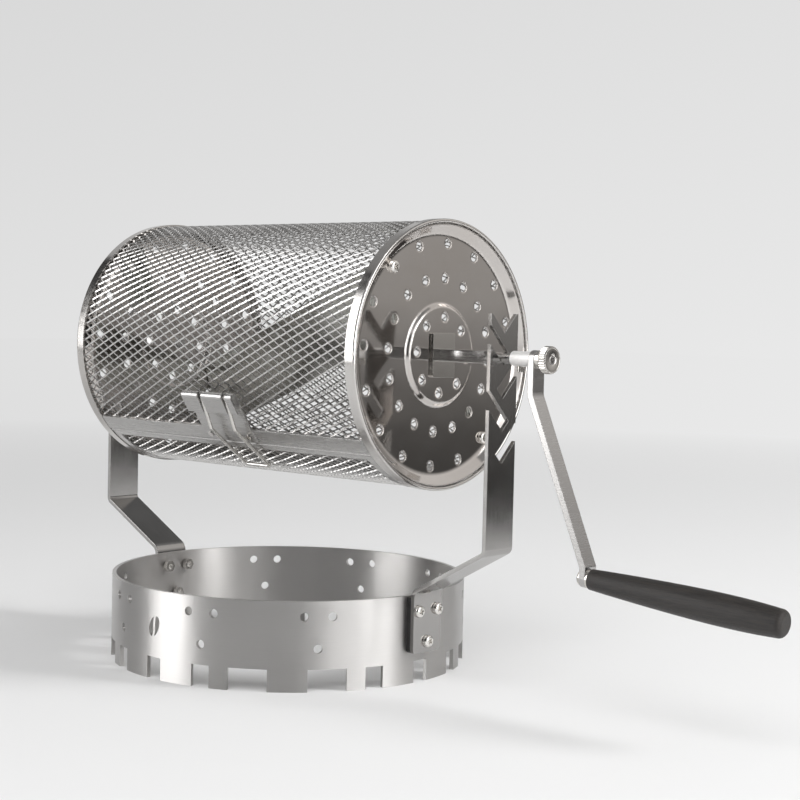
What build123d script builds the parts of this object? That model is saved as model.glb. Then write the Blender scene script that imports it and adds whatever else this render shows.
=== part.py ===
"""Hand-cranked stovetop coffee bean roaster.

A mesh drum with a latched door turns in two notched straps that stand on a stove ring.
Millimetres. +X runs along the drum axis towards the crank, -Y is the door side, +Z is up.
The origin is at the middle of the overall length, on the surface that the ring stands on.
Lengths along X are given from the ring's centre, which lies at ring_x.
"""

import os
from math import cos, radians, sin, sqrt

from build123d import *

os.makedirs("parts", exist_ok=True)

# ---------------------------------------------------------------- driving dimensions
# stove ring: a steel hoop with a crown of notches that drop over the hob's pan support
ring_radius = 90.0
ring_wall = 2.0
ring_height = 42.6
notch_height = 10.6
notch_step = 6.0  # degrees, width of one narrow notch
quadrant_notches = ((0, 1), (18, 1), (33, 2), (57, 2), (72, 1))  # centre in degrees, width in steps
vent_diameter = 4.2
vent_high = 35.3
vent_low = 20.3
vent_pair = 13.4  # distance between the two upper holes of a group
vent_groups = 10
bean_height = 10.6
bean_width = 6.6
bean_web = 1.3
bean_z = 25.4
bean_tilt = 25.0

# straps that carry the drum
strap_width = 20.0
strap_thickness = 2.0
strap_reach = 134.0  # from the ring's centre to the inner face of the upright
strap_top = 177.6
strap_knee = 67.0  # height of the upper bend
strap_bend = 4.0
foot_bottom = 15.0
foot_top = 44.0
foot_corner = 2.0
spacer_thickness = 2.0

# drum
axis_z = 157.4
drum_length = 197.6
drum_shift = 3.0  # the drum lies this far towards the crank
drum_radius = 64.2  # over the rims
rim_band = 5.5
rim_thickness = 0.8
rim_bead = 0.9
mesh_thickness = 0.8
net_columns = 5  # the mesh's own slant, at a coarser pitch
net_slant = 1.83  # a gap's length by its height
net_strand = 2.2
net_border = 3.6
disc_thickness = 0.8
disc_recess = 4.75
disc_flat_radius = 57.0
boss_radius = 24.5
boss_height = 1.7
disc_hole = 4.5
disc_hole_rings = ((18.0, 8), (36.4, 16), (53.0, 16))  # pitch radius, number of holes
disc_hole_phase = -5.0
fit = 0.05  # radial clearance of every running fit
body_gap = 0.3  # least distance between pieces that move apart

# seams and door, as angles about the drum axis from +Y towards +Z
seam_start = 217.0
seam_end = 224.4
hinge_angle = 290.0
hinge_strip = 6.0
strip_thickness = 1.4
door_gap = 0.5  # degrees
door_border = 4.5
door_thickness = 1.3
hem_radius = 0.8
hem_inset = 1.0  # degrees
hinge_offset = 2.4  # from the strip's outer face to the pin's axis
knuckle_radius = 2.0
pin_radius = 1.0
knuckle_length = 9.0
knuckle_spread = 55.0  # hinge centres from the middle of the drum
leaf_length = 7.0
leaf_thickness = 1.3

# latch: a folded plate on the seam strip and a wire bail that lies over the door's edge
latch_x = 7.0
latch_width = 35.0
latch_sheet = 0.8
latch_rise = 16.0
latch_base_start = seam_start - 4.0  # degrees
latch_base_end = seam_end - 0.8
curl_radius = 1.25
lip_length = 8.5
wire_radius = 0.9
bail_x = 10.5
bail_width = 17.0
bail_knee_radius = 69.4  # the bend that clears the door's edge
bail_knee_angle = 214.0
bail_tip_radius = 66.3
bail_tip_angle = 239.6
bail_stub = 7.0
bail_bend = 1.6
rivet_radius = 1.5
rivet_head = 0.7
rivet_inset = 4.0

# shafts
journal_diameter = 5.0
shank_side = 6.0
shank_length = 26.0
shaft_end_diameter = 4.0
centre_hole = 2.4
left_overhang = 6.0  # the left journal beyond its strap
hub_width = 16.0
hub_height = 21.0
hub_thickness = 1.5
hub_nut_flats = 8.0
hub_nut_height = 4.0
stud_tail = 1.0
seat_pitch = 15.0
slot_width = 6.4

# vanes: one long strip on a slant through the axis and a paddle in each corner that it leaves free
vane_angle = 130.0  # of the screws at the crank end
vane_lean = 22.0  # between the radius to a screw and the strip's width
vane_width = 38.0
vane_reach = 60.0
vane_thickness = 1.0
vane_tab = 10.0
vane_bend = 2.0
paddle_width = 30.0
paddle_depth = 8.5

# crank
collar_diameter = 7.0
collar_length = 11.0
collar_gap = 5.8  # from the strap's outer face
set_screw_diameter = 2.8
set_screw_proud = 2.7
arm_width = 8.4
arm_thickness = 3.0
arm_crease_drop = 15.8
arm_bend_x = 31.4  # from the arm's upright face to the lower bend
arm_bend_z = 67.3
grip_z = 61.8
grip_droop = 3.9  # degrees below the horizontal
knob_neck_diameter = 8.2
knob_neck_length = 3.5
knob_diameter = 12.6
knob_length = 4.1
spindle_diameter = 4.0
spindle_depth = 60.0
spindle_head_diameter = 7.6
spindle_head_height = 2.0
washer_diameter = 8.4
washer_thickness = 1.0
grip_length = 95.3
grip_end_radius = 5.9
grip_stations = ((0.0, 4.65), (14.7, 5.45), (41.7, 6.55), (72.7, 6.95), (grip_length, grip_end_radius))
grip_round = 2.6

# screws and nuts
screw_diameter = 3.0
screw_head_diameter = 5.8
screw_head_height = 2.1
screw_hole = 3.4
screw_tail = 0.6  # thread beyond its nut
nut_flats = 5.5
nut_height = 2.4

# ---------------------------------------------------------------- derived places
half_drum = drum_length / 2
mesh_outer = drum_radius - rim_thickness - fit
mesh_inner = mesh_outer - mesh_thickness
strip_inner = mesh_inner - 0.1
strip_outer = strip_inner + strip_thickness + 0.3
strap_face = strap_reach + strap_thickness
disc_face = half_drum - disc_recess  # from the middle of the drum
boss_face = disc_face + boss_height
shank_start = boss_face + hub_thickness
shank_end = shank_start + shank_length
collar_start = strap_face + collar_gap
arm_back = collar_start + collar_length + 0.2
arm_face = arm_back + arm_thickness
lug_along = (arm_bend_z - grip_z) / cos(radians(grip_droop))
lug_x = arm_face + arm_bend_x - lug_along * sin(radians(grip_droop))
grip_start = washer_thickness + body_gap
grip_tip_x = lug_x + (grip_start + grip_length) * cos(radians(grip_droop))
grip_tip_x += (grip_end_radius - grip_round) * sin(radians(grip_droop))
left_end = strap_face + left_overhang
ring_x = (left_end - grip_tip_x) / 2
drum_x = ring_x + drum_shift
drum_axis = Axis((0, 0, axis_z), (1, 0, 0))
screw_places = ((-vent_pair / 2, vent_high), (vent_pair / 2, vent_high), (0, vent_low))
foot_x = ring_radius + spacer_thickness
foot_face = foot_x + strap_thickness
seat_reach = (journal_diameter / 2 + fit) * sqrt(2)  # from a seat's axis down to its V
pin_reach = strip_outer + hinge_offset
door_start = seam_end + door_gap
door_end = hinge_angle - door_gap
door_half = half_drum - rim_band - body_gap


def across(x):
    """Plane across the drum axis at x from the origin, with +Y to the right and +Z up."""
    return Plane(origin=(x, 0, axis_z), x_dir=(0, 1, 0), z_dir=(1, 0, 0))


def upright(x):
    """The same plane, with its origin on the floor."""
    return Plane(origin=(x, 0, 0), x_dir=(0, 1, 0), z_dir=(1, 0, 0))


def side_view(x, z):
    """Plane through the drum axis, with +X to the right and +Z up."""
    return Plane(origin=(x, 0, z), x_dir=(1, 0, 0), z_dir=(0, -1, 0))


def polar(radius, angle):
    """Point about the drum axis in the plane across it."""
    return (radius * cos(radians(angle)), radius * sin(radians(angle)))


def band(inner, outer, start, end):
    """Face between two radii and two angles about the drum axis."""
    with BuildSketch() as sector:
        with BuildLine():
            CenterArc((0, 0), outer, start, end - start)
            CenterArc((0, 0), inner, start, end - start)
            Line(polar(inner, start), polar(outer, start))
            Line(polar(inner, end), polar(outer, end))
        make_face()
    return sector.sketch


def net_gaps(half_length, start, end):
    """Prisms that open a stretch of the drum's wall as a net of staggered diamonds."""
    clear = half_length - net_border
    pitch = 2 * clear / net_columns
    rise = pitch / net_slant
    slack = net_strand * sqrt(pitch**2 + rise**2) / 2
    wide, high = pitch / 2 - slack / rise, rise / 2 - slack / pitch
    margin = (high + net_border / 2) / radians(1) / mesh_outer
    span = end - start - 2 * margin
    steps = int(span * radians(1) * mesh_outer / (rise / 2))
    with BuildPart() as gaps:
        for row in range(steps + 1):
            angle = start + margin + row * span / steps
            place = polar(mesh_outer + net_border, angle)
            way = polar(1, angle)
            outside = Plane(origin=(drum_x, place[0], axis_z + place[1]), x_dir=(1, 0, 0), z_dir=(0, way[0], way[1]))
            with BuildSketch(outside):
                with GridLocations(pitch, pitch, net_columns + row % 2, 1):
                    Polygon((-wide, 0), (0, -high), (wide, 0), (0, high), align=None)
                Rectangle(2 * clear, 2 * rise, mode=Mode.INTERSECT)
        extrude(amount=-2 * net_border)
    return gaps.part


def keep(piece, node):
    """Label a finished piece and write it."""
    piece.part.label = node
    export_step(piece.part, f"parts/{node}.step")


drum_mirror = Plane(origin=(drum_x, 0, 0), z_dir=(1, 0, 0))
ring_mirror = Plane(origin=(ring_x, 0, 0), z_dir=(1, 0, 0))

# ---------------------------------------------------------------- stove ring
ring_plane = Plane(origin=(ring_x, 0, 0))
with BuildPart() as base_ring:
    with BuildSketch(ring_plane):
        Circle(ring_radius)
        Circle(ring_radius - ring_wall, mode=Mode.SUBTRACT)
    extrude(amount=ring_height)
    with BuildSketch(ring_plane):
        for centre, steps in quadrant_notches:
            with PolarLocations(ring_radius, 4, start_angle=centre):
                Rectangle(4 * ring_wall, 2 * ring_radius * sin(radians(steps * notch_step / 2)))
    extrude(amount=notch_height, mode=Mode.SUBTRACT)
    for group in range(vent_groups // 2):
        turn = radians(group * 360 / vent_groups)
        facing = Plane(origin=(ring_x, 0, 0), x_dir=(-sin(turn), cos(turn), 0), z_dir=(cos(turn), sin(turn), 0))
        with BuildSketch(facing):
            with Locations(*screw_places):
                Circle(vent_diameter / 2)
        extrude(amount=ring_radius + ring_wall, both=True, mode=Mode.SUBTRACT)
    # bean-shaped vent on the door side: an oval with a curved web left across it
    bean_plane = Plane(origin=(ring_x, -ring_radius - ring_wall, bean_z), x_dir=(1, 0, 0), z_dir=(0, -1, 0))
    with BuildSketch(bean_plane):
        Ellipse(bean_width / 2, bean_height / 2, rotation=-bean_tilt)
        with BuildLine(Plane.XY.rotated((0, 0, -bean_tilt))):
            lower = ThreePointArc((0, -bean_height), (bean_width / 5, -bean_height / 3), (0, 0))
            ThreePointArc((0, 0), (-bean_width / 5, bean_height / 3), (0, bean_height))
        trace(line_width=bean_web, mode=Mode.SUBTRACT)
    extrude(amount=-3 * ring_wall, mode=Mode.SUBTRACT)
keep(base_ring, "base_ring")

# ---------------------------------------------------------------- straps
with BuildPart() as right_bracket:
    with BuildSketch(side_view(ring_x, 0)):
        with BuildLine():
            FilletPolyline(
                (foot_face, foot_bottom),
                (foot_face, foot_top),
                (strap_face, strap_knee),
                (strap_face, strap_top),
                radius=strap_bend,
            )
            offset(amount=strap_thickness, side=Side.LEFT)
        make_face()
    extrude(amount=strap_width / 2, both=True)
    ends = right_bracket.edges().filter_by(Axis.X).group_by(Axis.Z)
    fillet(ends[0], radius=foot_corner)
    # seats for the shaft: a V in the top edge, then slanted slots from alternate sides
    with BuildSketch(across(ring_x + strap_reach - strap_thickness)):
        notch = seat_pitch - seat_reach
        Polygon(
            (0, notch),
            (strap_width, notch + strap_width),
            (-strap_width, notch + strap_width),
            align=None,
        )
        for seat in range(4):
            opens_left = seat % 2 == 0
            edge = journal_diameter / 2 + fit
            with Locations(Location((0, -seat * seat_pitch, 0), 135 if opens_left else 45)):
                with Locations((-edge, edge if opens_left else -edge)):
                    Rectangle(strap_width, slot_width, align=(Align.MIN, Align.MAX if opens_left else Align.MIN))
    extrude(amount=3 * strap_thickness, mode=Mode.SUBTRACT)
    with BuildSketch(upright(ring_x + foot_x - strap_thickness)):
        with Locations(*screw_places):
            Circle(screw_hole / 2)
    extrude(amount=3 * strap_thickness, mode=Mode.SUBTRACT)
keep(right_bracket, "right_bracket")

with BuildPart() as left_bracket:
    mirror(right_bracket.part, about=ring_mirror)
keep(left_bracket, "left_bracket")

with BuildPart() as right_spacer:
    with BuildSketch(Plane(origin=(ring_x, 0, foot_bottom))):
        with Locations((foot_x, 0)):
            Rectangle(3 * spacer_thickness, strap_width, align=(Align.MAX, Align.CENTER))
        Circle(ring_radius + fit, mode=Mode.SUBTRACT)
    extrude(amount=ring_height - foot_bottom - 0.6)
    fillet(right_spacer.edges().filter_by(Axis.X).group_by(Axis.Z)[0], radius=foot_corner)
    with BuildSketch(upright(ring_x + ring_radius - ring_wall)):
        with Locations(*screw_places):
            Circle(screw_hole / 2)
    extrude(amount=3 * ring_wall, mode=Mode.SUBTRACT)
keep(right_spacer, "right_spacer")

with BuildPart() as left_spacer:
    mirror(right_spacer.part, about=ring_mirror)
keep(left_spacer, "left_spacer")

# the nuts lie against the hoop's curved inside, so their faces clear its chord
nut_corner = vent_pair / 2 + nut_flats / sqrt(3)
nut_face = sqrt((ring_radius - ring_wall) ** 2 - nut_corner**2) - fit
with BuildPart() as right_bracket_screws:
    with BuildSketch(upright(ring_x + foot_face)):
        with Locations(*screw_places):
            Circle(screw_head_diameter / 2)
    extrude(amount=screw_head_height)
    fillet(right_bracket_screws.edges().group_by(Axis.X)[-1], radius=screw_head_height * 0.6)
    with BuildSketch(upright(ring_x + foot_face)):
        with Locations(*screw_places):
            Circle(screw_diameter / 2)
    extrude(amount=nut_face - nut_height - screw_tail - foot_face)
keep(right_bracket_screws, "right_bracket_screws")

with BuildPart() as left_bracket_screws:
    mirror(right_bracket_screws.part, about=ring_mirror)
keep(left_bracket_screws, "left_bracket_screws")

with BuildPart() as right_bracket_nuts:
    with BuildSketch(upright(ring_x + nut_face)):
        with Locations(*screw_places):
            RegularPolygon(nut_flats / 2, 6, major_radius=False)
            Circle(screw_diameter / 2 + fit, mode=Mode.SUBTRACT)
    extrude(amount=-nut_height)
keep(right_bracket_nuts, "right_bracket_nuts")

with BuildPart() as left_bracket_nuts:
    mirror(right_bracket_nuts.part, about=ring_mirror)
keep(left_bracket_nuts, "left_bracket_nuts")

# ---------------------------------------------------------------- drum ends
with BuildPart() as right_rim:
    with BuildSketch(side_view(drum_x, axis_z)):
        with Locations((half_drum - rim_bead, drum_radius)):
            Rectangle(rim_band - rim_bead, rim_thickness, align=(Align.MAX, Align.MAX))
        with Locations((half_drum - rim_bead, drum_radius - rim_bead)):
            Circle(rim_bead)
    revolve(axis=drum_axis)
keep(right_rim, "right_rim")

with BuildPart() as left_rim:
    mirror(right_rim.part, about=drum_mirror)
keep(left_rim, "left_rim")

disc_edge = drum_radius - 2 * rim_bead - disc_thickness
with BuildPart() as right_end_disc:
    with BuildSketch(side_view(drum_x, axis_z)):
        with BuildLine():
            FilletPolyline(
                (boss_face, 0),
                (boss_face, boss_radius - boss_height),
                (disc_face, boss_radius),
                (disc_face, disc_flat_radius),
                (half_drum - rim_bead, disc_edge),
                radius=(0.9, 0.9, 3.0),
            )
            offset(amount=disc_thickness, side=Side.LEFT)
        make_face()
    revolve(axis=drum_axis)
    with BuildSketch(across(drum_x + disc_face - 2 * disc_thickness)):
        Circle(journal_diameter / 2 + fit)
        for pitch_radius, holes in disc_hole_rings:
            with PolarLocations(pitch_radius, holes, start_angle=disc_hole_phase):
                Circle(disc_hole / 2)
    extrude(amount=4 * disc_thickness + boss_height, mode=Mode.SUBTRACT)
keep(right_end_disc, "right_end_disc")

with BuildPart() as left_end_disc:
    mirror(right_end_disc.part, about=drum_mirror)
keep(left_end_disc, "left_end_disc")

# ---------------------------------------------------------------- drum wall
mesh_half = half_drum - 2 * rim_bead - body_gap
with BuildPart() as drum_mesh:
    with BuildSketch(across(drum_x - mesh_half)):
        add(band(mesh_inner, mesh_outer, hinge_angle - 360 + hinge_strip, seam_start))
    extrude(amount=2 * mesh_half)
    add(net_gaps(mesh_half, hinge_angle - 360 + hinge_strip, seam_start), mode=Mode.SUBTRACT)
keep(drum_mesh, "drum_mesh")

with BuildPart() as seam_strip:
    with BuildSketch(across(drum_x - door_half)):
        add(band(strip_inner, strip_outer, seam_start, seam_end))
    extrude(amount=2 * door_half)
keep(seam_strip, "seam_strip")

pin_point = polar(pin_reach, hinge_angle)


def knuckle(centre, leaf_radius, side):
    """Hinge knuckle about the pin, with its leaf lying on a surface on the given side."""
    with BuildPart() as barrel:
        with BuildSketch(across(centre - knuckle_length / 2)):
            with Locations(Location((*pin_point, 0), hinge_angle)):
                Circle(knuckle_radius)
                with Locations((leaf_radius - 0.2 - pin_reach, 0)):
                    Rectangle(leaf_thickness, leaf_length, align=(Align.MIN, side))
                Circle(pin_radius + fit, mode=Mode.SUBTRACT)
        extrude(amount=knuckle_length)
    return barrel.part


with BuildPart() as hinge_strip_piece:
    with BuildSketch(across(drum_x - door_half)):
        add(band(strip_inner, strip_outer, hinge_angle + door_gap, hinge_angle + hinge_strip))
    extrude(amount=2 * door_half)
    for hinge in (-1, 1):
        for end in (-1, 1):
            centre = drum_x + hinge * knuckle_spread + end * (knuckle_length + body_gap)
            add(knuckle(centre, strip_outer, Align.MIN))
keep(hinge_strip_piece, "hinge_strip")

with BuildPart() as hinge_pins:
    for hinge in (-1, 1):
        pin_length = 3 * knuckle_length + 2 * body_gap
        with BuildSketch(across(drum_x + hinge * knuckle_spread - pin_length / 2)):
            with Locations(pin_point):
                Circle(pin_radius)
        extrude(amount=pin_length)
keep(hinge_pins, "hinge_pins")

# ---------------------------------------------------------------- door
border_angle = door_border / radians(1) / strip_outer
with BuildPart() as door_frame:
    with BuildSketch(across(drum_x - door_half)):
        add(band(mesh_inner, mesh_inner + door_thickness, door_start, door_end))
        with Locations(polar(mesh_outer, door_start + hem_inset)):
            Circle(hem_radius)
    extrude(amount=2 * door_half)
    with BuildSketch(across(drum_x - door_half + door_border)):
        add(band(mesh_inner - 1, drum_radius + 1, door_start + border_angle, door_end - border_angle))
    extrude(amount=2 * (door_half - door_border), mode=Mode.SUBTRACT)
    for hinge in (-1, 1):
        add(knuckle(drum_x + hinge * knuckle_spread, mesh_inner + door_thickness, Align.MAX))
keep(door_frame, "door_frame")

with BuildPart() as door_mesh:
    with BuildSketch(across(drum_x - door_half + door_border)):
        add(band(mesh_inner, mesh_outer, door_start + border_angle, door_end - border_angle))
    extrude(amount=2 * (door_half - door_border))
    add(net_gaps(door_half - door_border, door_start + border_angle, door_end - border_angle), mode=Mode.SUBTRACT)
keep(door_mesh, "door_mesh")

# ---------------------------------------------------------------- latch
latch_radius = strip_outer + latch_sheet / 2 + fit
rise_start = polar(latch_radius, latch_base_start)
rise_way = Vector(sin(radians(latch_base_start)), -cos(radians(latch_base_start)))
out_way = Vector(cos(radians(latch_base_start)), sin(radians(latch_base_start)))
rise_end = Vector(*rise_start) + rise_way * latch_rise
curl_centre = rise_end + out_way * (curl_radius + latch_sheet / 2)
curl_end = curl_centre + out_way * (curl_radius + latch_sheet / 2)
curl_top = curl_centre + rise_way * (curl_radius + latch_sheet / 2)
lip_end = curl_end - rise_way * lip_length
with BuildPart() as latch_bracket:
    with BuildSketch(across(ring_x + latch_x - latch_width / 2)):
        with BuildLine():
            CenterArc((0, 0), latch_radius, latch_base_start, latch_base_end - latch_base_start)
            Line(rise_start, rise_end)
            ThreePointArc(rise_end, curl_top, curl_end)
            Line(curl_end, lip_end)
        trace(line_width=latch_sheet)
    extrude(amount=latch_width)
    # slots that let the bail's legs swing out through the curl and the lip
    for leg in (-1, 1):
        slot = wire_radius + body_gap + 0.2
        with BuildSketch(across(ring_x + bail_x + leg * bail_width / 2 - slot)):
            with Locations(Location((curl_centre.X, curl_centre.Y, 0), latch_base_start)):
                with Locations((-curl_radius, 0)):
                    Rectangle(
                        3 * curl_radius + latch_sheet,
                        2 * (lip_length + curl_radius),
                        align=(Align.MIN, Align.CENTER),
                    )
        extrude(amount=2 * slot, mode=Mode.SUBTRACT)
keep(latch_bracket, "latch_bracket")

rivet_angle = (seam_start + latch_base_end) / 2
with BuildPart() as latch_rivets:
    for end in (-1, 1):
        place = polar(strip_outer - 0.4, rivet_angle)
        way = polar(1, rivet_angle)
        rivet_x = ring_x + latch_x + end * (latch_width / 2 - rivet_inset)
        face = Plane(origin=(rivet_x, place[0], axis_z + place[1]), x_dir=(1, 0, 0), z_dir=(0, way[0], way[1]))
        with BuildSketch(face.offset(latch_sheet + 0.6)):
            Circle(rivet_radius)
        extrude(amount=rivet_head)
keep(latch_rivets, "latch_rivets")

knee = polar(bail_knee_radius, bail_knee_angle)
tip = polar(bail_tip_radius, bail_tip_angle)
legs = (ring_x + bail_x - bail_width / 2, ring_x + bail_x + bail_width / 2)
bail_points = (
    (legs[0] + bail_stub, curl_centre.X, axis_z + curl_centre.Y),
    (legs[0], curl_centre.X, axis_z + curl_centre.Y),
    (legs[0], knee[0], axis_z + knee[1]),
    (legs[0], tip[0], axis_z + tip[1]),
    (legs[1], tip[0], axis_z + tip[1]),
    (legs[1], knee[0], axis_z + knee[1]),
    (legs[1], curl_centre.X, axis_z + curl_centre.Y),
    (legs[1] - bail_stub, curl_centre.X, axis_z + curl_centre.Y),
)
with BuildPart() as latch_bail:
    with BuildLine() as wire_path:
        FilletPolyline(*bail_points, radius=bail_bend)
    with BuildSketch(Plane(origin=bail_points[0], x_dir=(0, 1, 0), z_dir=(-1, 0, 0))):
        Circle(wire_radius)
    sweep(path=wire_path.wires()[0])
keep(latch_bail, "latch_bail")

# ---------------------------------------------------------------- hubs and shafts
stud_end = boss_face - disc_thickness - hub_nut_height - stud_tail
with BuildPart() as right_hub_plate:
    with BuildSketch(across(drum_x + boss_face)):
        RectangleRounded(hub_width, hub_height, 1.0)
        Circle(journal_diameter / 2 + fit, mode=Mode.SUBTRACT)
    extrude(amount=hub_thickness)
keep(right_hub_plate, "right_hub_plate")

with BuildPart() as left_hub_plate:
    mirror(right_hub_plate.part, about=drum_mirror)
keep(left_hub_plate, "left_hub_plate")

with BuildPart() as right_hub_nut:
    with BuildSketch(across(drum_x + boss_face - disc_thickness)):
        RegularPolygon(hub_nut_flats / 2, 6, major_radius=False)
        Circle(journal_diameter / 2 + fit, mode=Mode.SUBTRACT)
    extrude(amount=-hub_nut_height)
keep(right_hub_nut, "right_hub_nut")

with BuildPart() as left_hub_nut:
    mirror(right_hub_nut.part, about=drum_mirror)
keep(left_hub_nut, "left_hub_nut")

with BuildPart() as right_shaft:
    with BuildSketch(across(drum_x + stud_end)):
        Circle(journal_diameter / 2)
    extrude(amount=shank_start - stud_end)
    with BuildSketch(across(drum_x + shank_start)):
        RectangleRounded(shank_side, shank_side, 0.5)
    extrude(amount=shank_length)
    with BuildSketch(across(drum_x + shank_end)):
        Circle(journal_diameter / 2)
    extrude(amount=ring_x + collar_start + collar_length - drum_x - shank_end)
    shoulder = ring_x + collar_start + collar_length
    with BuildSketch(across(shoulder)):
        Circle(shaft_end_diameter / 2)
    extrude(amount=ring_x + arm_face + knob_neck_length + knob_length - shoulder)
    with BuildSketch(across(ring_x + arm_face + knob_neck_length + knob_length)):
        Circle(centre_hole / 2)
    extrude(amount=-knob_length / 2, mode=Mode.SUBTRACT)
keep(right_shaft, "right_shaft")

with BuildPart() as left_shaft:
    with BuildSketch(across(drum_x - stud_end)):
        Circle(journal_diameter / 2)
    extrude(amount=stud_end - shank_start)
    with BuildSketch(across(drum_x - shank_start)):
        RectangleRounded(shank_side, shank_side, 0.5)
    extrude(amount=-shank_length)
    with BuildSketch(across(drum_x - shank_end)):
        Circle(journal_diameter / 2)
    extrude(amount=ring_x - left_end - drum_x + shank_end)
    chamfer(left_shaft.edges().group_by(Axis.X)[0], length=0.6)
keep(left_shaft, "left_shaft")

# ---------------------------------------------------------------- vanes
# local axes of a vane: X, then across its width and its thickness, then along its width
vane_tilt = radians(vane_angle - vane_lean)
vane_plane = Plane(origin=(drum_x, 0, axis_z), x_dir=(1, 0, 0), z_dir=(0, cos(vane_tilt), sin(vane_tilt)))
face_plane = Plane(origin=(drum_x, 0, axis_z), x_dir=(1, 0, 0), z_dir=(0, -sin(vane_tilt), cos(vane_tilt)))
tab_x = disc_face - disc_thickness - vane_thickness / 2
fold = vane_tab / 2 - disc_hole_rings[-1][0] * sin(radians(vane_lean))
vane_edge = sqrt(vane_reach**2 - fold**2)


def bent_strip(bends, outline):
    """Thin strip along a bent line, trimmed to an outline in its face and to the drum's bore."""
    with BuildPart() as strip:
        with BuildSketch(vane_plane):
            with BuildLine():
                FilletPolyline(*bends, radius=vane_bend)
            trace(line_width=vane_thickness)
        extrude(amount=vane_reach, both=True)
        with BuildSketch(face_plane):
            Polygon(*outline, align=None)
        extrude(amount=vane_reach, both=True, mode=Mode.INTERSECT)
        with BuildSketch(across(drum_x)):
            Circle(vane_reach)
        extrude(amount=half_drum, both=True, mode=Mode.INTERSECT)
        for end in (-1, 1):
            for side in (-1, 1):
                with BuildSketch(across(drum_x + end * tab_x)):
                    with Locations(polar(side * disc_hole_rings[-1][0], vane_angle)):
                        Circle(screw_hole / 2)
                extrude(amount=2 * vane_thickness, both=True, mode=Mode.SUBTRACT)
    return strip.part


with BuildPart() as vane_front:
    long_bends = ((tab_x, fold - vane_tab), (tab_x, fold), (-tab_x, -fold), (-tab_x, vane_tab - fold))
    inner_edge = vane_edge - vane_width
    slant = ((half_drum, inner_edge), (half_drum, vane_edge), (-half_drum, -inner_edge), (-half_drum, -vane_edge))
    add(bent_strip(long_bends, slant))
keep(vane_front, "vane_front")

with BuildPart() as vane_back:
    inner_edge = vane_edge - paddle_width
    for end in (-1, 1):
        bends = (
            (end * tab_x, end * (vane_tab - fold)),
            (end * tab_x, -end * fold),
            (end * (tab_x - paddle_depth), -end * fold),
        )
        corner = (
            (0, -end * inner_edge),
            (end * half_drum, -end * inner_edge),
            (end * half_drum, -end * vane_edge),
            (0, -end * vane_edge),
        )
        add(bent_strip(bends, corner))
keep(vane_back, "vane_back")

with BuildPart() as vane_screws:
    for end in (-1, 1):
        for side in (-1, 1):
            centre = polar(side * disc_hole_rings[-1][0], vane_angle)
            with BuildSketch(across(drum_x + end * disc_face)):
                with Locations(centre):
                    Circle(screw_head_diameter / 2)
            extrude(amount=end * screw_head_height)
            with BuildSketch(across(drum_x + end * disc_face)):
                with Locations(centre):
                    Circle(screw_diameter / 2)
            extrude(amount=-end * (disc_thickness + vane_thickness + nut_height + screw_tail))
keep(vane_screws, "vane_screws")

with BuildPart() as vane_nuts:
    for end in (-1, 1):
        for side in (-1, 1):
            with BuildSketch(across(drum_x + end * (tab_x - vane_thickness / 2))):
                with Locations(polar(side * disc_hole_rings[-1][0], vane_angle)):
                    RegularPolygon(nut_flats / 2, 6, major_radius=False)
                    Circle(screw_diameter / 2 + fit, mode=Mode.SUBTRACT)
            extrude(amount=-end * nut_height)
keep(vane_nuts, "vane_nuts")

# ---------------------------------------------------------------- crank
set_screw_x = ring_x + collar_start + collar_length / 3
with BuildPart() as shaft_collar:
    with BuildSketch(across(ring_x + collar_start)):
        Circle(collar_diameter / 2)
        Circle(journal_diameter / 2 + fit, mode=Mode.SUBTRACT)
    extrude(amount=collar_length)
    with BuildSketch(Plane(origin=(set_screw_x, 0, axis_z))):
        Circle(set_screw_diameter / 2 + fit)
    extrude(amount=-collar_diameter, mode=Mode.SUBTRACT)
keep(shaft_collar, "shaft_collar")

with BuildPart() as collar_set_screw:
    with BuildSketch(Plane(origin=(set_screw_x, 0, axis_z - journal_diameter / 2 - fit))):
        Circle(set_screw_diameter / 2)
    extrude(amount=journal_diameter / 2 + fit - collar_diameter / 2 - set_screw_proud)
    chamfer(collar_set_screw.edges().group_by(Axis.Z)[0], length=0.3)
keep(collar_set_screw, "collar_set_screw")

grip_way = (cos(radians(grip_droop)), 0, -sin(radians(grip_droop)))
lug_plane = Plane(origin=(ring_x + lug_x, 0, grip_z), x_dir=(0, 1, 0), z_dir=grip_way)
lug_end_x = lug_x - arm_width / 2 * sin(radians(grip_droop))
lug_end_z = grip_z - arm_width / 2 * cos(radians(grip_droop))
with BuildPart() as crank_arm:
    with BuildSketch(side_view(ring_x, 0)):
        with BuildLine():
            FilletPolyline(
                (arm_face, axis_z + arm_width / 2),
                (arm_face, axis_z - arm_crease_drop),
                (arm_face + arm_bend_x, arm_bend_z),
                (lug_end_x, lug_end_z),
                radius=(5.0, 1.2),
            )
            offset(amount=arm_thickness, side=Side.RIGHT)
        make_face()
    extrude(amount=arm_width / 2, both=True)
    corners = crank_arm.edges().filter_by(lambda edge: abs(edge.length - arm_thickness) < 0.01)
    fillet(corners.sort_by(Axis.Z)[-2:], radius=arm_width / 2 - 0.02)
    fillet(corners.sort_by(Axis.Z)[:2], radius=arm_width / 2 - 0.02)
    with BuildSketch(across(ring_x + arm_back)):
        Circle(shaft_end_diameter / 2 + fit)
    extrude(amount=arm_thickness, mode=Mode.SUBTRACT)
    with BuildSketch(lug_plane):
        Circle(spindle_diameter / 2 + fit)
    extrude(amount=-arm_thickness, mode=Mode.SUBTRACT)
keep(crank_arm, "crank_arm")

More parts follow.
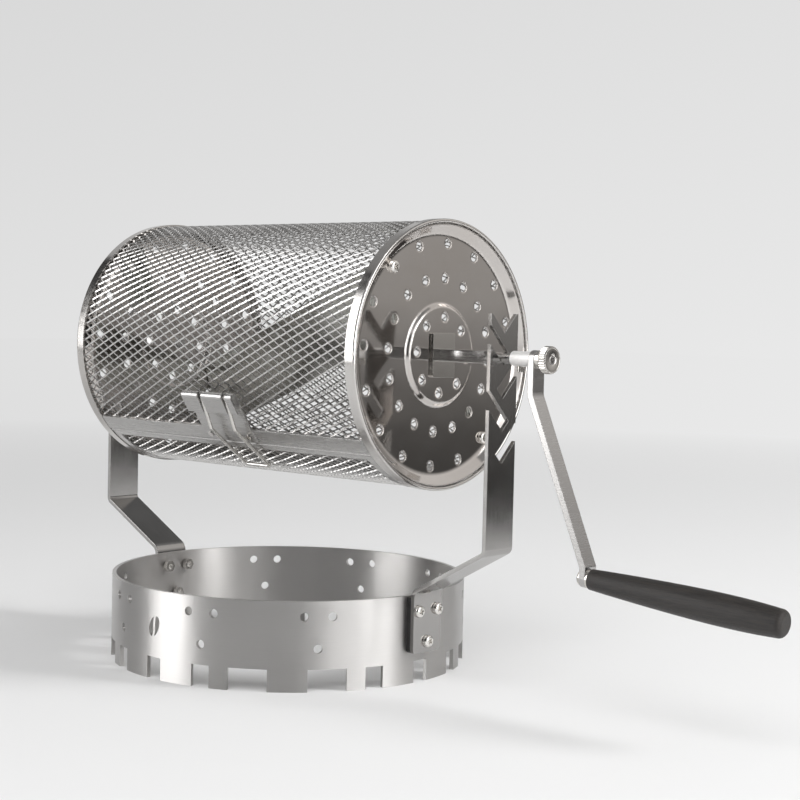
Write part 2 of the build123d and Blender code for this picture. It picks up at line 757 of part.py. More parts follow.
with BuildPart() as thumb_nut:
    with BuildSketch(across(ring_x + arm_face)):
        Circle(knob_neck_diameter / 2)
    extrude(amount=knob_neck_length)
    with BuildSketch(across(ring_x + arm_face + knob_neck_length)):
        Circle(knob_diameter / 2)
    extrude(amount=knob_length)
    chamfer(thumb_nut.edges().group_by(Axis.X)[-1], length=0.5)
    with BuildSketch(across(ring_x + arm_face)):
        Circle(shaft_end_diameter / 2 + fit)
    extrude(amount=knob_neck_length + knob_length, mode=Mode.SUBTRACT)
keep(thumb_nut, "thumb_nut")

with BuildPart() as handle_spindle:
    with BuildSketch(lug_plane.offset(-arm_thickness - spindle_head_height)):
        Circle(spindle_head_diameter / 2)
    extrude(amount=spindle_head_height)
    fillet(handle_spindle.edges().sort_by(Axis.X)[0], radius=spindle_head_height * 0.7)
    with BuildSketch(lug_plane.offset(-arm_thickness)):
        Circle(spindle_diameter / 2)
    extrude(amount=arm_thickness + grip_start + spindle_depth)
keep(handle_spindle, "handle_spindle")

with BuildPart() as handle_washer:
    with BuildSketch(lug_plane):
        Circle(washer_diameter / 2)
        Circle(spindle_diameter / 2 + fit, mode=Mode.SUBTRACT)
    extrude(amount=washer_thickness)
keep(handle_washer, "handle_washer")

grip_origin = lug_plane.offset(grip_start).origin
grip_view = Plane(origin=grip_origin, x_dir=grip_way, z_dir=(0, -1, 0))
with BuildPart() as handle_grip:
    with BuildSketch(grip_view):
        with BuildLine():
            Spline(*grip_stations)
            Polyline(grip_stations[-1], (grip_length, 0), (0, 0), grip_stations[0])
        make_face()
    revolve(axis=Axis(grip_origin, grip_way))
    fillet(handle_grip.edges().sort_by(Axis.X)[-1], radius=grip_round)
    with BuildSketch(lug_plane.offset(grip_start)):
        Circle(spindle_diameter / 2 + fit)
    extrude(amount=spindle_depth + body_gap, mode=Mode.SUBTRACT)
keep(handle_grip, "handle_grip")
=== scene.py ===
"""Hand-cranked stovetop coffee bean roaster, dressed for rendering."""

from math import cos, pi, radians, sin

import bpy
from mathutils import Matrix, Vector


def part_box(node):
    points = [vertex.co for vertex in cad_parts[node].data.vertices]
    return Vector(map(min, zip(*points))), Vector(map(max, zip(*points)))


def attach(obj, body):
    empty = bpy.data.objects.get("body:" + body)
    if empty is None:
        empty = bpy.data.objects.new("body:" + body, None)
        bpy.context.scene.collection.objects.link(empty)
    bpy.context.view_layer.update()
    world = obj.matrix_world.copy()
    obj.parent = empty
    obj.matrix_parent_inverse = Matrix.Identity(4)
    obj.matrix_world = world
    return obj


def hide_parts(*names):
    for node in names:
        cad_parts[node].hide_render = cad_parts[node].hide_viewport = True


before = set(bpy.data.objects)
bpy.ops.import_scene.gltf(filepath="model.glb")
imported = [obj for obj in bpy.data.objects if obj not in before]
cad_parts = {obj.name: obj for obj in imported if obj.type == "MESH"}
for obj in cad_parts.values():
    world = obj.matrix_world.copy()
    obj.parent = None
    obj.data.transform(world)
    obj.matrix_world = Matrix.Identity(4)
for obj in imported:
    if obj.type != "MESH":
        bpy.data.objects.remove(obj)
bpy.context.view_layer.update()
MM = 0.001

# ---------------------------------------------------------------- places taken from the frame
ring_low, ring_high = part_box("base_ring")
ring_x = (ring_low[0] + ring_high[0]) / 2
rim_low, rim_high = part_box("left_rim")
axis_z = (rim_low[2] + rim_high[2]) / 2
drum_x = (rim_low[0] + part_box("right_rim")[1][0]) / 2
mesh_low, mesh_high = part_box("drum_mesh")
mesh_radius = (mesh_high[1] - mesh_low[1]) / 2


def add_object(name, data):
    """New object in the scene; data is a mesh, a lamp or a camera."""
    piece = bpy.data.objects.new(name, data)
    bpy.context.scene.collection.objects.link(piece)
    return piece


def add_mesh(name, points, faces, material):
    data = bpy.data.meshes.new(name)
    data.from_pydata(points, [], faces)
    data.update()
    data.materials.append(material)
    return add_object(name, data)


# ---------------------------------------------------------------- shader helpers
class Nodes:
    """A node tree that is built up call by call."""

    def __init__(self, tree):
        self.tree = tree

    def add(self, kind, **inputs):
        node = self.tree.nodes.new(kind)
        for key, value in inputs.items():
            self.feed(node.inputs[key.replace("_", " ")], value)
        return node

    def feed(self, socket, value):
        if isinstance(value, bpy.types.NodeSocket):
            self.tree.links.new(value, socket)
        else:
            socket.default_value = value

    def math(self, operation, *values):
        node = self.tree.nodes.new("ShaderNodeMath")
        node.operation = operation
        for socket, value in zip(node.inputs, values):
            self.feed(socket, value)
        return node.outputs[0]


class Shader(Nodes):
    """A Principled material."""

    def __init__(self, name, metallic, roughness, color):
        self.material = bpy.data.materials.new(name)
        self.material.use_nodes = True
        super().__init__(self.material.node_tree)
        self.bsdf = self.tree.nodes["Principled BSDF"]
        self.set("Metallic", metallic)
        self.set("Roughness", roughness)
        self.set("Base Color", (*color, 1))

    def set(self, name, value):
        self.feed(self.bsdf.inputs[name], value)

    def show(self, shader):
        """Makes another shader the material's surface."""
        self.feed(self.tree.nodes["Material Output"].inputs[0], shader)

    def place(self):
        """Position in the shared frame, in metres."""
        return self.add("ShaderNodeTexCoord").outputs["Object"]

    def split(self, vector):
        return self.add("ShaderNodeSeparateXYZ", Vector=vector).outputs

    def join(self, x, y, z):
        return self.add("ShaderNodeCombineXYZ", X=x, Y=y, Z=z).outputs[0]

    def scaled(self, factors, turn=0.0):
        node = self.add("ShaderNodeMapping", Vector=self.place())
        node.inputs["Rotation"].default_value = (0, turn, 0)
        node.inputs["Scale"].default_value = factors
        return node.outputs[0]

    def round_ring(self, along, across):
        """Stretched position for marks that run round the stove ring."""
        x, y, z = self.split(self.place())
        angle = self.math("ARCTAN2", y, self.math("SUBTRACT", x, ring_x))
        return self.join(self.math("MULTIPLY", angle, along), self.math("MULTIPLY", z, across), 0.0)

    def noise(self, vector, scale=1.0, detail=3.0, roughness=0.5):
        node = self.add(
            "ShaderNodeTexNoise", Vector=vector, Scale=scale, Detail=detail, Roughness=roughness
        )
        return node.outputs["Fac"]

    def span(self, value, low=0.0, high=1.0, start=0.3, end=0.7):
        """Stretches the values from start to end onto low to high."""
        node = self.add("ShaderNodeMapRange", Value=value)
        sockets = ("From Min", "From Max", "To Min", "To Max")
        for socket, number in zip(sockets, (start, end, low, high)):
            node.inputs[socket].default_value = number
        return node.outputs["Result"]

    def blend(self, value, low, high):
        node = self.add("ShaderNodeMix")
        node.data_type = "RGBA"
        self.feed(node.inputs["Factor"], value)
        node.inputs["A"].default_value = (*low, 1)
        node.inputs["B"].default_value = (*high, 1)
        return node.outputs["Result"]

    def bump(self, height, distance, strength=1.0, normal=None):
        node = self.add("ShaderNodeBump", Height=height, Distance=distance, Strength=strength)
        if normal is not None:
            self.feed(node.inputs["Normal"], normal)
        self.feed(self.bsdf.inputs["Normal"], node.outputs[0])
        return node.outputs[0]

    def soft_edge(self, radius):
        """Normal that rounds off the edges of cut sheet."""
        node = self.add("ShaderNodeBevel", Radius=radius)
        node.samples = 6
        return node.outputs[0]


line_shade = 0.84  # brightness of a brushed line against the bare steel
cloud_rough = 0.03  # how much slow clouds change the roughness of brushed steel
smear_shade = (0.90, 0.87, 0.84)  # brightness of a smear on polished steel, in red, green and blue


def brushed(
    name,
    color,
    rough,
    lines,
    metallic=1.0,
    anisotropic=0.0,
    tangent_axis=None,
    rotation=0.0,
    depth=0.004,
    edge=0.0,
):
    """Satin steel with fine lines.

    rough is a range. lines makes the stretched position that the lines follow. depth, of the
    lines, and edge, the radius of the sheet's edges, are in mm.
    """
    steel = Shader(name, metallic, sum(rough) / 2, color)
    grain = steel.noise(lines(steel), 1.0, 4.0, 0.6)
    cloud = steel.span(steel.noise(steel.place(), 45.0, 2.0), -cloud_rough, cloud_rough)
    steel.set("Roughness", steel.math("ADD", steel.span(grain, *rough), cloud))
    steel.set("Base Color", steel.blend(grain, tuple(c * line_shade for c in color), color))
    steel.bump(grain, depth * MM, 0.6, steel.soft_edge(edge * MM) if edge else None)
    if anisotropic:
        steel.set("Anisotropic", anisotropic)
        steel.set("Anisotropic Rotation", rotation)
        tangent = steel.tree.nodes.new("ShaderNodeTangent")
        tangent.direction_type = "RADIAL"
        tangent.axis = tangent_axis
        steel.set("Tangent", tangent.outputs[0])
    return steel.material


def polished(name, color, rough, wave=0.0, wave_scale=40.0, edge=0.0):
    """Bright steel with faint smears and, with wave, slow swells in its reflections.

    wave, the swells' height, and edge, the radius of the sheet's edges, are in mm.
    """
    steel = Shader(name, 1.0, rough, color)
    smear = steel.noise(steel.scaled((60, 60, 140)), 1.0, 5.0, 0.65)
    steel.set("Roughness", steel.span(smear, rough * 0.6, rough * 1.7))
    cloud = steel.noise(steel.place(), 22.0, 4.0, 0.6)
    patch = steel.math("ADD", steel.math("MULTIPLY", smear, 0.4), steel.span(cloud, 0.0, 0.6))
    smeared = tuple(c * shade for c, shade in zip(color, smear_shade))
    steel.set("Base Color", steel.blend(patch, smeared, color))
    normal = steel.soft_edge(edge * MM) if edge else None
    if wave:
        swell = steel.noise(steel.place(), wave_scale, 1.0)
        normal = steel.bump(swell, wave * MM, 1.0, normal)
    steel.bump(smear, 0.002 * MM, 0.5, normal)
    return steel.material


def grain(x, y, z):
    """Lines for a brushed finish: the position, scaled by a factor along each axis."""
    return lambda steel: steel.scaled((x, y, z))


def ring_lines(steel):
    return steel.round_ring(6.0, 5200.0)


ring_steel = brushed(
    "ring_steel",
    (0.64, 0.627, 0.615),
    (0.38, 0.48),
    ring_lines,
    anisotropic=0.95,
    tangent_axis="Z",
    rotation=0.25,
)
strap_steel = brushed("strap_steel", (0.42, 0.41, 0.40), (0.12, 0.20), grain(90, 4200, 90), edge=0.35)
sheet_steel = brushed("sheet_steel", (0.56, 0.55, 0.54), (0.22, 0.34), grain(60, 3000, 3000), edge=0.2)
vane_steel = brushed("vane_steel", (0.46, 0.46, 0.43), (0.12, 0.22), grain(60, 2600, 2600), edge=0.2)
shaft_steel = brushed("shaft_steel", (0.58, 0.57, 0.56), (0.14, 0.24), grain(40, 2600, 2600), edge=0.3)
mesh_steel = brushed("mesh_steel", (0.68, 0.67, 0.66), (0.20, 0.30), grain(900, 900, 900), depth=0.01)
crank_steel = brushed("crank_steel", (0.50, 0.49, 0.48), (0.20, 0.30), grain(90, 90, 4200), edge=0.35)
# The spacers' near-black colour is painted shade: it stands in for the shadowed gap between each strap
# foot and the ring.
spacer_painted_shade = brushed("spacer_painted_shade", (0.10, 0.10, 0.10), (0.30, 0.42), grain(90, 4200, 90))
# The collar is steel. Its near-white colour is a painted highlight for a blown-out reflection, and it
# is half diffuse so that the lamps brighten it.
collar_painted_highlight = brushed(
    "collar_painted_highlight", (0.97, 0.96, 0.95), (0.4, 0.5), grain(3000, 60, 60), metallic=0.5
)
rim_steel = polished("rim_steel", (0.62, 0.61, 0.60), 0.14)
disc_steel = polished("disc_steel", (0.60, 0.58, 0.565), 0.06, wave=0.30, wave_scale=34.0, edge=1.3)
screw_steel = polished("screw_steel", (0.86, 0.85, 0.83), 0.22)
plated = polished("plated", (0.68, 0.67, 0.65), 0.14, edge=0.15)

grip_tilt = radians(3.9)  # of the wood's grain against the X axis
wood = Shader("dark_wood", 0.0, 0.42, (0.02, 0.016, 0.014))
fibre = wood.noise(wood.scaled((55, 1500, 1500), grip_tilt), 1.0, 6.0, 0.7)
pores = wood.noise(wood.scaled((220, 4200, 4200), grip_tilt), 1.0, 2.0, 0.5)
dark_grain, pale_grain = (0.006, 0.005, 0.005), (0.04, 0.033, 0.028)
wood.set("Base Color", wood.blend(wood.span(fibre, start=0.35), dark_grain, pale_grain))
wood.set("Roughness", wood.span(fibre, 0.42, 0.62))
grooves = wood.math("ADD", wood.math("MULTIPLY", fibre, 0.7), wood.math("MULTIPLY", pores, 0.5))
wood.bump(grooves, 0.3 * MM, 1.0)
wood.set("Coat Weight", 0.08)
wood.set("Coat Roughness", 0.4)

finishes = {
    "base_ring": ring_steel,
    "left_bracket": strap_steel,
    "right_bracket": strap_steel,
    "left_spacer": spacer_painted_shade,
    "right_spacer": spacer_painted_shade,
    "shaft_collar": collar_painted_highlight,
    "crank_arm": crank_steel,
    "left_end_disc": disc_steel,
    "right_end_disc": disc_steel,
    "left_rim": rim_steel,
    "right_rim": rim_steel,
    "left_shaft": shaft_steel,
    "right_shaft": shaft_steel,
    "vane_front": vane_steel,
    "vane_back": vane_steel,
    "seam_strip": sheet_steel,
    "hinge_strip": sheet_steel,
    "door_frame": sheet_steel,
    "latch_bracket": sheet_steel,
    "handle_grip": wood.material,
}
for node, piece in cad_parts.items():
    piece.data.materials.clear()
    piece.data.materials.append(finishes.get(node, plated))


# ---------------------------------------------------------------- expanded mesh
# The lattice's two steps on the unrolled drum, along the axis and round it, and the strands
# and the bonds where they meet, all in mm. The strands lean out of the wall by strand_tilt.
strand_one = (3.90, 1.87)
strand_two = (-3.86, 2.36)
strand_width = 0.68
strand_depth = 0.5
strand_tilt = radians(22)
bond_length = 1.5
bond_width = 0.95
bond_depth = strand_depth * 1.1
strand_inset = 0.4  # how far the strands' middle lies below the wall's outside
door_lap = 1.5  # how far the door's mesh runs on under its frame, at each end
wall_arc = (-38.5, 245.5)  # degrees from the front of the drum, upward
door_arc = (-106.5, -47.8)


def clip(start, end, low, high):
    """The part of a segment that lies inside a rectangle, or None."""
    first, last = 0.0, 1.0
    for axis in (0, 1):
        step = end[axis] - start[axis]
        for bound, sign in ((low[axis], 1), (high[axis], -1)):
            inside = sign * (start[axis] - bound)
            change = sign * step
            if abs(change) < 1e-9:
                if inside < 0:
                    return None
            elif change > 0:
                first = max(first, -inside / change)
            else:
                last = min(last, -inside / change)
    if last - first < 1e-3:
        return None
    return tuple(
        tuple(start[axis] + share * (end[axis] - start[axis]) for axis in (0, 1))
        for share in (first, last)
    )


def expanded_mesh(name, node, body, radius, low, high):
    """Expanded steel mesh on the drum's wall, between two corners of the unrolled drum."""
    points, faces = [], []

    def on_drum(along, round_it, lift):
        angle = round_it / radius
        reach = radius + lift
        return (drum_x + along * MM, -reach * cos(angle) * MM, axis_z + reach * sin(angle) * MM)

    def bar(start, end, width, depth):
        length = ((end[0] - start[0]) ** 2 + (end[1] - start[1]) ** 2) ** 0.5
        side = (-(end[1] - start[1]) / length, (end[0] - start[0]) / length)
        if side[1] < 0:
            side = (-side[0], -side[1])
        base = len(points)
        for point in (start, end):
            for across, up in ((-1, -1), (1, -1), (1, 1), (-1, 1)):
                shift = across * width / 2 * cos(strand_tilt) - up * depth / 2 * sin(strand_tilt)
                lift = across * width / 2 * sin(strand_tilt) + up * depth / 2 * cos(strand_tilt)
                points.append(on_drum(point[0] + side[0] * shift, point[1] + side[1] * shift, lift))
        for a, b in ((0, 1), (1, 2), (2, 3), (3, 0)):
            faces.append((base + a, base + b, base + b + 4, base + a + 4))
        faces.append((base + 3, base + 2, base + 1, base))
        faces.append((base + 4, base + 5, base + 6, base + 7))

    determinant = strand_one[0] * strand_two[1] - strand_one[1] * strand_two[0]
    corners = [(a, b) for a in (low[0], high[0]) for b in (low[1], high[1])]
    ones = [(a * strand_two[1] - b * strand_two[0]) / determinant for a, b in corners]
    twos = [(b * strand_one[0] - a * strand_one[1]) / determinant for a, b in corners]
    for i in range(int(min(ones)) - 2, int(max(ones)) + 3):
        for j in range(int(min(twos)) - 2, int(max(twos)) + 3):
            knot = tuple(i * strand_one[k] + j * strand_two[k] for k in (0, 1))
            for step in (strand_one, strand_two):
                piece = clip(knot, (knot[0] + step[0], knot[1] + step[1]), low, high)
                if piece:
                    bar(*piece, strand_width, strand_depth)
            left, right = knot[0] - bond_length / 2, knot[0] + bond_length / 2
            bond = clip((left, knot[1]), (right, knot[1]), low, high)
            if bond:
                bar(*bond, bond_width, bond_depth)
    piece = add_mesh(name, points, faces, mesh_steel)
    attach(piece, body)
    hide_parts(node)


def corners_of(half_length, arc, radius):
    """Low and high corner on the unrolled drum, in mm, of a panel that covers an arc."""
    low, high = (radians(angle) * radius for angle in arc)
    return (-half_length, low), (half_length, high)


wall_radius = mesh_radius / MM - strand_inset
half_mesh = (mesh_high[0] - mesh_low[0]) / 2 / MM
wall_corners = corners_of(half_mesh, wall_arc, wall_radius)
expanded_mesh("drum_expanded_mesh", "drum_mesh", "drum", wall_radius, *wall_corners)
door_low, door_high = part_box("door_mesh")
half_door = (door_high[0] - door_low[0]) / 2 / MM + door_lap
door_corners = corners_of(half_door, door_arc, wall_radius)
expanded_mesh("door_expanded_mesh", "door_mesh", "door", wall_radius, *door_corners)


# ---------------------------------------------------------------- small fasteners
def loose_parts(node):
    """The points of each separate solid of a CAD node."""
    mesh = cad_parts[node].data
    keys = [tuple(round(c * 1e5) for c in vertex.co) for vertex in mesh.vertices]
    lead = {key: key for key in keys}

    def root(key):
        while lead[key] != key:
            lead[key] = lead[lead[key]]
            key = lead[key]
        return key

    for edge in mesh.edges:
        first, second = (root(keys[index]) for index in edge.vertices)
        lead[first] = second
    groups = {}
    for key in lead:
        groups.setdefault(root(key), []).append(Vector(key) / 1e5)
    return [groups[key] for key in sorted(groups)]


sharp_angle = radians(38)  # edges turned by more than this stay sharp in smooth shading


class Turned:
    """One mesh of turned pieces on axes along X, each built ring by ring."""

    def __init__(self, name, segments):
        self.name, self.segments = name, segments
        self.points, self.faces = [], []

    def turn(self, origin, way, profile, shape=None):
        """profile gives (distance along, radius); shape may move each point along and out."""
        rings = []
        for along, radius in profile:
            ring = []
            for k in range(self.segments):
                angle = 2 * pi * k / self.segments
                shift, out = shape(along, radius, angle) if shape else (0.0, 0.0)
                reach = radius + out
                ring.append(len(self.points))
                x = origin[0] + way * (along + shift)
                self.points.append((x, origin[1] + reach * cos(angle), origin[2] + reach * sin(angle)))
            rings.append(ring)
        for first, second in zip(rings, rings[1:]):
            for k in range(self.segments):
                after = (k + 1) % self.segments
                face = (first[k], first[after], second[after], second[k])
                self.faces.append(face if way > 0 else face[::-1])

    def finish(self, body, material, slot, *nodes):
        piece = add_mesh(self.name, self.points, self.faces, material)
        piece.data.validate()
        piece.data.shade_smooth()
        piece.data.set_sharp_from_angle(angle=sharp_angle)
        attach(piece, body)
        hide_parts(*nodes)


shank_radius = 1.5 * MM
tip_slope = 0.5 * MM
tip_length = 0.4 * MM
half_pitch = 0.25 * MM
thread_depth = 0.22 * MM
dome_start = 0.42  # share of the head's height with straight sides; the dome takes the rest
dome_height = 0.58
dome_shrink = 0.42  # how much narrower the head is at its top, as a share of its radius
flat_edge = 0.56  # the flat top lies within this, in head radii
flat_radii = (0.54, 0.5, 0.46, 0.42, 0.38, 0.34, 0.3, 0.26, 0.22, 0.18, 0.14, 0.1, 0.05, 0.0)
cross_width = 0.13  # the recess, in head radii: half its arms' width, and their length
cross_reach = 0.50
cross_depth = 0.5  # as a share of the head's height
cross_turns = (17, 64, 38, 80)  # degrees at which each screw's cross has come to stand


def screws(name, node, body):
    """Pan-head machine screws with a cross recess and a thread."""
    piece = Turned(name, segments=64)
    for index, part in enumerate(loose_parts(node)):
        low = Vector([min(point[a] for point in part) for a in range(3)])
        high = Vector([max(point[a] for point in part) for a in range(3)])
        middle = (low + high) / 2
        head = (high[1] - low[1]) / 2
        reaches = [(Vector(point[1:]) - Vector(middle[1:])).length for point in part]
        wide = [point[0] for point, reach in zip(part, reaches) if reach > 0.97 * head]
        way = 1 if sum(wide) / len(wide) > middle[0] else -1
        base = min(wide) if way > 0 else max(wide)
        top = high[0] if way > 0 else low[0]
        tall = abs(top - base)
        length = (high[0] - low[0]) - tall
        origin = (base, middle[1], middle[2])
        tail = [(-length, 0.0), (-length, shank_radius - tip_slope)]
        tail.append((-length + tip_length, shank_radius))
        for k in range(int((length - 2 * tip_length) / half_pitch)):
            groove = thread_depth if k % 2 else 0.0
            tail.append((-length + tip_slope + k * half_pitch, shank_radius - groove))
        piece.turn(origin, way, tail + [(0.0, shank_radius)])
        crown = [(0.0, shank_radius), (0.0, head * 0.985), (0.04 * tall, head)]
        crown.append((dome_start * tall, head))
        for a in range(12, 91, 13):
            height = tall * (dome_start + dome_height * sin(radians(a)))
            crown.append((height, head * (1 - dome_shrink * (1 - cos(radians(a))))))
        crown += [(tall, head * share) for share in flat_radii]
        twist = radians(cross_turns[index % len(cross_turns)])

        def recess(along, radius, angle, head=head, tall=tall, twist=twist):
            on_flat = along >= tall * 0.99 and radius <= head * flat_edge
            u, v = abs(radius * cos(angle - twist)), abs(radius * sin(angle - twist))
            slot, reach = cross_width * head, cross_reach * head
            inside = (u < slot and v < reach) or (v < slot and u < reach)
            return (-cross_depth * tall if on_flat and inside else 0.0), 0.0

        piece.turn(origin, way, crown, recess)
    piece.finish(body, screw_steel, "hardware", node)


screws("right_cross_screws", "right_bracket_screws", "frame")
screws("left_cross_screws", "left_bracket_screws", "frame")
screws("vane_cross_screws", "vane_screws", "drum")


knurl_ridges = 36
knurl_depth = 0.34 * MM


def knurled_nut(name, node, body):
    """Thumb nut: a smooth neck and a head with straight knurling."""
    part = loose_parts(node)[0]
    start, end = min(point[0] for point in part), max(point[0] for point in part)

    def out(point):
        return Vector((point[1], point[2] - axis_z)).length

    head = max(out(point) for point in part)
    bore = min(out(point) for point in part)
    neck = max(out(point) for point in part if point[0] < start + 0.1 * MM)
    step = min(point[0] for point in part if out(point) > 0.98 * head)
    piece = Turned(name, segments=6 * knurl_ridges)
    neck_run, run = step - start, end - start
    # From the bore over the neck, its undercut and the head, and back through the bore.
    profile = [
        (0.0, bore),
        (0.0, neck - 0.2 * MM),
        (0.2 * MM, neck),
        (neck_run - 0.5 * MM, neck),
        (neck_run - 0.4 * MM, neck - 0.3 * MM),
        (neck_run, neck - 0.3 * MM),
        (neck_run, head - 0.6 * MM),
        (neck_run + 0.45 * MM, head),
    ]
    profile += [(neck_run + (0.2 + 0.6 * k / 6) * (run - neck_run), head) for k in range(7)]
    profile += [
        (run - 0.5 * MM, head),
        (run, head - 0.65 * MM),
        (run, head - 0.9 * MM),
        (run - 0.12 * MM, head - 1.05 * MM),
        (run - 0.12 * MM, bore + 0.55 * MM),
        (run - 0.4 * MM, bore),
        (0.0, bore),
    ]

    def teeth(along, radius, angle):
        on_side = along >= neck_run + 0.3 * MM and radius >= head - 0.1 * MM
        return 0.0, -knurl_depth * abs(cos(knurl_ridges / 2 * angle)) if on_side else 0.0

    piece.turn((start, 0.0, axis_z), 1, profile, teeth)
    piece.finish(body, plated, "hardware", node)


knurled_nut("knurled_thumb_nut", "thumb_nut", "drum")


# ---------------------------------------------------------------- stage
backdrop = 0.775  # level of the wall and the far floor
backdrop_slope = (0.09, 0.08, -0.3)  # how that level rises with the direction's X, Y and Z
room_light = 0.49  # level of the even light, which camera and reflections don't see
studio_height = 2.6  # of the cards and the ceiling, and half the ceiling's width, in metres
ceiling_level = 0.30
floor_reach = 6.0
floor_fade = (0.5, 1.8)  # distance over which the paper floor turns into the backdrop
object_middle = Vector((0, 0, 0.12))

world = bpy.data.worlds.new("studio")
bpy.context.scene.world = world
world.use_nodes = True
sky = Nodes(world.node_tree)
sky.tree.nodes.clear()
path = sky.add("ShaderNodeLightPath").outputs
seen = sky.math("MAXIMUM", path["Is Camera Ray"], path["Is Glossy Ray"])
clear = sky.math("MAXIMUM", seen, path["Is Transmission Ray"])
light = sky.add("ShaderNodeBackground", Color=(1, 1, 1, 1), Strength=room_light)
slope = sky.add("ShaderNodeVectorMath")
slope.operation = "DOT_PRODUCT"
sky.feed(slope.inputs[0], sky.add("ShaderNodeTexCoord").outputs["Generated"])
sky.feed(slope.inputs[1], backdrop_slope)
show = sky.add("ShaderNodeBackground", Color=sky.math("ADD", slope.outputs["Value"], backdrop))
mix = sky.add("ShaderNodeMixShader")
for socket, value in zip(mix.inputs, (clear, light.outputs[0], show.outputs[0])):
    sky.feed(socket, value)
sky.add("ShaderNodeOutputWorld", Surface=mix.outputs[0])


def level_square(name, reach, height, material):
    """Square about the origin, reach metres to each side."""
    corners = [(x * reach, y * reach, height) for x, y in ((-1, -1), (1, -1), (1, 1), (-1, 1))]
    return add_mesh(name, corners, [(0, 1, 2, 3)], material)


paper = Shader("floor_paper", 0.0, 0.7, (0.80, 0.80, 0.80))
paper.bump(paper.noise(paper.place(), 900.0, 2.0), 0.02 * MM, 0.3)
x, y, z = paper.split(paper.place())
squares = paper.math("ADD", paper.math("POWER", x, 2.0), paper.math("POWER", y, 2.0))
distance = paper.math("SQRT", squares)
fade = paper.span(distance, 0.0, 1.0, *floor_fade)
rise_x = paper.math("MULTIPLY", x, backdrop_slope[0])
rise_y = paper.math("MULTIPLY", y, backdrop_slope[1])
run = paper.math("MAXIMUM", distance, floor_fade[0])
rise = paper.math("DIVIDE", paper.math("ADD", rise_x, rise_y), run)
far = paper.add("ShaderNodeEmission", Color=paper.math("ADD", rise, backdrop))
mixed = paper.add("ShaderNodeMixShader")
for socket, value in zip(mixed.inputs, (fade, paper.bsdf.outputs[0], far.outputs[0])):
    paper.feed(socket, value)
paper.show(mixed.outputs[0])
floor = level_square("floor", floor_reach, 0, paper.material)


def toward(azimuth, distance, height):
    """Point at an azimuth from +X towards +Y about the object."""
    return Vector((distance * cos(radians(azimuth)), distance * sin(radians(azimuth)), height))


def softbox(name, azimuth, distance, height, size, power):
    """Rectangular lamp aimed at the object. It isn't seen in reflections."""
    data = bpy.data.lights.new(name, "AREA")
    data.shape = "RECTANGLE"
    data.size, data.size_y = size
    data.energy = power
    lamp = add_object(name, data)
    lamp.location = toward(azimuth, distance, height)
    aim = object_middle - lamp.location
    lamp.rotation_euler = aim.to_track_quat("-Z", "Y").to_euler()
    lamp.visible_glossy = False


softbox("right_window", azimuth=30, distance=1.9, height=1.15, size=(0.5, 0.9), power=34)
softbox("front_fill", azimuth=-60, distance=1.3, height=1.7, size=(1.4, 1.4), power=18)


def only_in_reflections(piece):
    piece.visible_camera = False
    piece.visible_diffuse = False
    piece.visible_shadow = False


def glowing(name):
    """Black material that a light of its own is added to."""
    return Shader(name, 0.0, 0.9, (0, 0, 0))


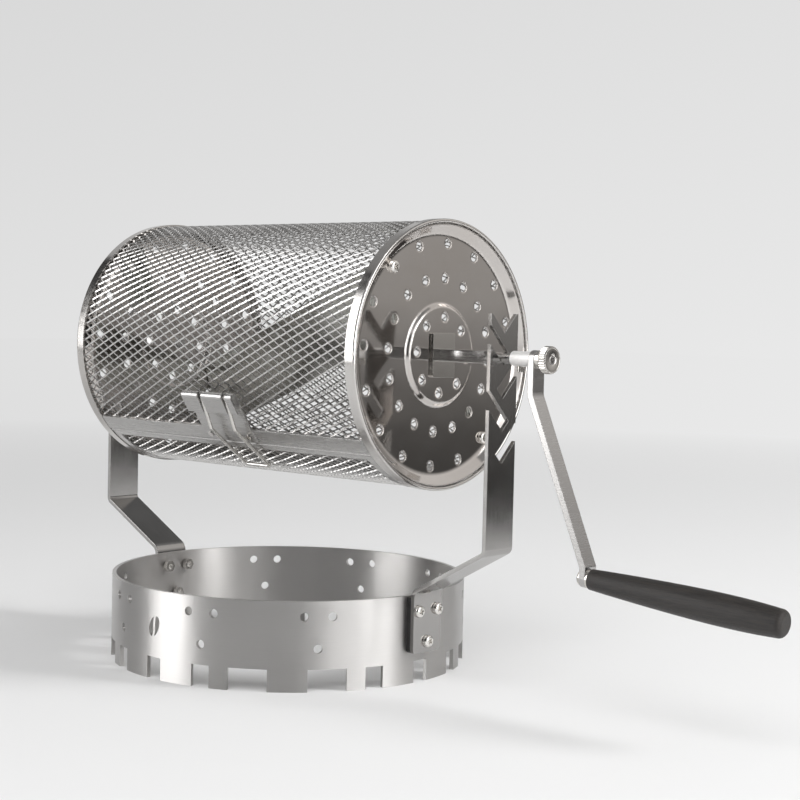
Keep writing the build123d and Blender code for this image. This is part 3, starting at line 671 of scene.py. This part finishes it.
def card(name, start, end, distance, levels, tint=(1.0, 1.0, 1.0)):
    """Studio card between two azimuths. levels are (height, brightness) pairs."""
    columns, rows = 12, len(levels)
    heights = [height for height, _ in levels]
    points, faces = [], []
    for k in range(columns + 1):
        azimuth = start + (end - start) * k / columns
        points.extend(tuple(toward(azimuth, distance, height)) for height in heights)
    for k in range(columns):
        for j in range(rows - 1):
            base = k * rows + j
            faces.append((base, base + rows, base + rows + 1, base + 1))
    cloth = glowing(name)
    share = cloth.math("DIVIDE", cloth.split(cloth.place())[2], heights[-1])
    ramp = cloth.add("ShaderNodeValToRGB", Fac=share)
    stops = ramp.color_ramp.elements
    peak = 1.05 * max(level for _, level in levels)  # keeps a tinted stop below 1
    while len(stops) < rows:
        stops.new(0.5)
    for stop, height in zip(stops, heights):
        stop.position = height / heights[-1]
    for stop, (_, level) in zip(stops, levels):
        stop.color = tuple(level / peak * t for t in tint) + (1,)
    glow = cloth.add("ShaderNodeEmission", Color=ramp.outputs["Color"], Strength=peak)
    cloth.show(glow.outputs[0])
    screen = add_mesh(name, points, faces, cloth.material)
    only_in_reflections(screen)


card("front_card", -110, -34, 2.4, ((0.0, 0.02), (studio_height, 0.02)))
card("far_left_card", -180, -145, 2.4, ((0.0, 0.08), (studio_height, 0.05)))
card("left_glow", -142, -113, 2.3, ((0.0, 5.0), (1.6, 4.6), (studio_height, 1.2)))
card("right_glow", 4, 26, 2.3, ((0.0, 4.6), (1.6, 4.2), (studio_height, 1.2)))
card("right_side", -22, 4, 2.35, ((0.0, 2.4), (1.6, 2.2), (studio_height, 0.6)))
crank_levels = (
    (0.0, 0.05),
    (0.04, 0.07),
    (0.08, 0.11),
    (0.141, 0.26),
    (0.19, 0.42),
    (0.25, 0.46),
    (0.4, 0.8),
    (1.2, 0.7),
)
card("crank_card", 27, 92, 0.62, crank_levels, (1.03, 1.0, 0.97))
card("back_card", 92, 135, 2.4, ((0.0, 0.5), (1.0, 0.4), (studio_height, 0.1)))

shade = glowing("ceiling")
dim = shade.add("ShaderNodeEmission", Color=(ceiling_level, ceiling_level, ceiling_level, 1))
shade.show(dim.outputs[0])
ceiling = level_square("ceiling", studio_height, studio_height, shade.material)
only_in_reflections(ceiling)

# ---------------------------------------------------------------- camera
azimuth, elevation, roll = radians(41.4), radians(3.11), radians(1.35)
camera_place = Vector((ring_x + 0.60674, -0.60524, 0.17862))

back = Vector((sin(azimuth) * cos(elevation), -cos(azimuth) * cos(elevation), sin(elevation)))
right = (-back).cross(Vector((0, 0, 1))).normalized()
up = right.cross(-back)
right, up = right * cos(roll) + up * sin(roll), up * cos(roll) - right * sin(roll)
camera_data = bpy.data.cameras.new("camera")
camera_data.sensor_width = 36.0
camera_data.lens = 75.2
camera = add_object("camera", camera_data)
turned = Matrix(((right.x, up.x, back.x), (right.y, up.y, back.y), (right.z, up.z, back.z)))
camera.matrix_world = Matrix.Translation(camera_place) @ turned.to_4x4()
bpy.context.scene.camera = camera

bpy.context.scene.view_settings.view_transform = "Standard"
